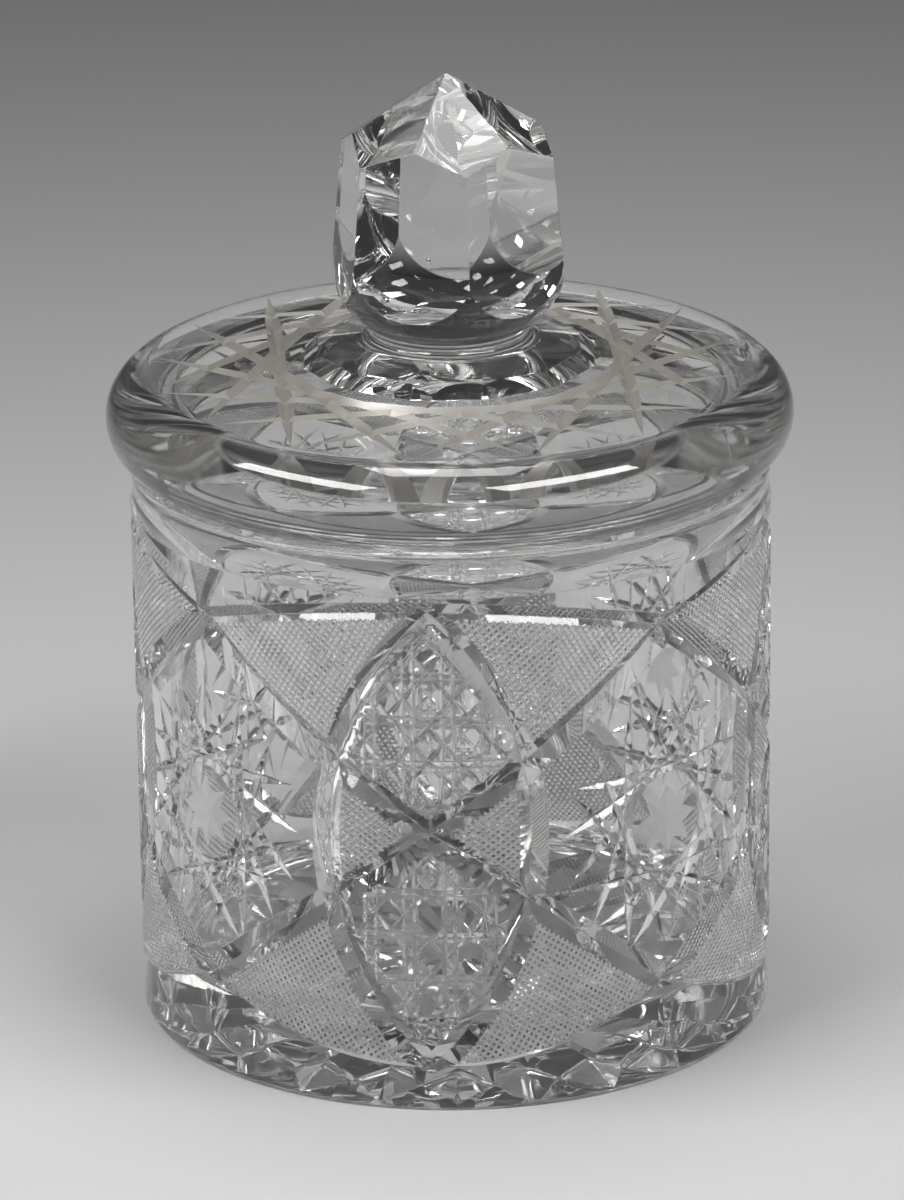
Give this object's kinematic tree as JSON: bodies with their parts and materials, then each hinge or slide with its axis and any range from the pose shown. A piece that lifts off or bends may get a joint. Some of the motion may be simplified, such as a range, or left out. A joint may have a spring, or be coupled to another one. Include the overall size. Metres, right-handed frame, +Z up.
{
  "type": "lidded jar",
  "caption": "Straight heavy jar of clear cut crystal with deep mitre cuts, a thick round-edged lid that lifts off and a faceted knob; it keeps sweets or biscuits.",
  "frame": {"origin": "middle of the foot's underside", "axes": "+Z up along the jar's axis, -Y towards the front that the picture shows"},
  "size_m": [0.1496, 0.1496, 0.2109],
  "materials": {
    "crystal": "polished clear crystal with matt star cuts"
  },
  "bodies": {
    "jar": {"jar": "crystal"},
    "lid": {"lid": "crystal", "knob": "crystal"}
  },
  "joints": [
    {"name": "lid_lift", "type": "slide", "parent": "jar", "child": "lid", "axis": [0, 0, 1], "range_m": [0, 0.15]}
  ]
}
